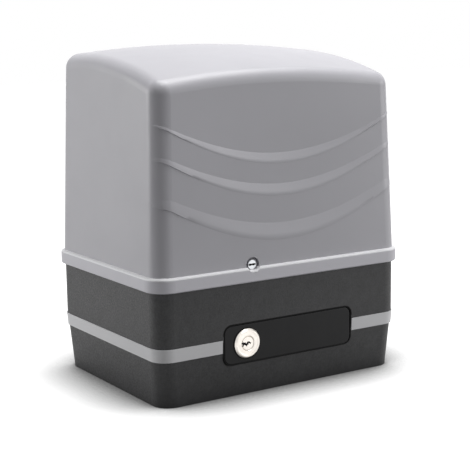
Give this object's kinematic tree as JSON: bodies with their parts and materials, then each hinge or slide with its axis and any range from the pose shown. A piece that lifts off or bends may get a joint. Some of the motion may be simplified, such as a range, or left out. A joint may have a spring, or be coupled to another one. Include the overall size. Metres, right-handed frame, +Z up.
{
  "type": "sliding gate motor",
  "caption": "Floor-mounted gate opener with a tall moulded cover over a tapered base, a lockable release lever at the front and a toothed pinion at the rear.",
  "frame": {"origin": "centre of the base's bottom face", "axes": "+X right along the front, +Y from front to back, +Z up"},
  "size_m": [0.25, 0.2242, 0.2843],
  "materials": {
    "cover_silver": "satin silver-grey moulded plastic",
    "base_charcoal": "charcoal moulded plastic with fine mould texture",
    "band_silver": "satin silver plastic",
    "panel_black": "satin near-black plastic",
    "lock_nickel": "warm nickel plate",
    "zinc_screw": "bright zinc plate",
    "steel": "machined steel",
    "bearing_steel": "ground steel",
    "bronze": "machined bronze",
    "cast_alloy": "cast alloy",
    "black_rubber": "soft black rubber",
    "motor_paint": "black painted steel can",
    "magnet_grey": "ferrite",
    "rotor_steel": "stacked sheet steel",
    "copper": "copper",
    "battery_case": "dark grey battery plastic",
    "battery_strap": "strap plastic",
    "board_green": "solder-mask green laminate",
    "relay_blue": "blue relay plastic",
    "terminal_green": "green terminal plastic",
    "bracket_zinc": "zinc-plated sheet",
    "winding_tape": "amber winding tape",
    "sensor_black": "black sensor plastic",
    "bush_white": "natural acetal"
  },
  "bodies": {
    "base": {"base_housing": "base_charcoal", "base_deck": "base_charcoal", "deck_screws": "zinc_screw", "accent_band_left": "band_silver", "accent_band_right": "band_silver", "cover_seal": "black_rubber", "lever_hinge_pin": "steel", "plunger_bush": "bush_white", "clutch_spring": "steel", "front_bearing": "bearing_steel", "rear_bearing": "bearing_steel", "oil_seal": "black_rubber", "worm_lower_bearing": "bearing_steel", "worm_upper_bearing": "bearing_steel", "motor_flange": "cast_alloy", "motor_can": "motor_paint", "motor_magnets": "magnet_grey", "motor_end_cap": "cast_alloy", "motor_screws": "zinc_screw", "battery_case": "battery_case", "battery_terminals": "copper", "battery_strap": "battery_strap", "board_bracket": "bracket_zinc", "control_board": "board_green", "board_relays": "relay_blue", "terminal_blocks": "terminal_green", "transformer_core": "rotor_steel", "transformer_winding": "winding_tape", "limit_sensor": "sensor_black", "cable_grommet": "black_rubber"},
    "cover": {"cover": "cover_silver", "cover_screws": "zinc_screw", "cover_nuts": "steel"},
    "lever": {"release_lever": "panel_black", "lock_body": "lock_nickel", "lock_nut": "steel"},
    "key_plug": {"lock_plug": "lock_nickel", "lock_tongue": "steel"},
    "plunger": {"release_plunger": "steel", "shift_fork": "steel"},
    "output": {"output_shaft": "steel", "pinion": "steel", "pinion_key": "steel", "pinion_washer": "zinc_screw", "pinion_bolt": "zinc_screw"},
    "dog": {"clutch_dog": "steel"},
    "wheel": {"worm_wheel": "bronze"},
    "rotor": {"worm_shaft": "steel", "rotor_core": "rotor_steel", "commutator": "copper"}
  },
  "joints": [
    {"name": "cover_lift", "type": "slide", "parent": "base", "child": "cover", "axis": [0, 0, 1], "range_m": [0, 0.2]},
    {"name": "lever_swing", "type": "hinge", "parent": "base", "child": "lever", "pos_m": [0.052, -0.0834, 0.0438], "axis": [0, 0, 1], "range_deg": [0, 90]},
    {"name": "key_turn", "type": "hinge", "parent": "lever", "child": "key_plug", "pos_m": [-0.039, -0.085, 0.0438], "axis": [0, -1, 0], "range_deg": [0, 90]},
    {"name": "plunger_slide", "type": "slide", "parent": "base", "child": "plunger", "axis": [0, 1, 0], "range_m": [0, 0.005]},
    {"name": "output_spin", "type": "hinge", "parent": "base", "child": "output", "pos_m": [0, 0.02, 0.052], "axis": [0, 1, 0], "continuous": true},
    {"name": "dog_slide", "type": "slide", "parent": "output", "child": "dog", "axis": [0, 1, 0], "range_m": [0, 0.005]},
    {"name": "wheel_spin", "type": "hinge", "parent": "base", "child": "wheel", "pos_m": [0, 0.02, 0.052], "axis": [0, 1, 0], "continuous": true},
    {"name": "rotor_spin", "type": "hinge", "parent": "base", "child": "rotor", "pos_m": [-0.0445, 0.02, 0.052], "axis": [0, 0, -1], "continuous": true}
  ],
  "couplings": [
    {"joint": "plunger_slide", "follows": "lever_swing", "m_per_rad": 0.0031831},
    {"joint": "dog_slide", "follows": "lever_swing", "m_per_rad": 0.0031831},
    {"joint": "wheel_spin", "follows": "output_spin", "ratio": 1},
    {"joint": "rotor_spin", "follows": "output_spin", "ratio": 32}
  ]
}
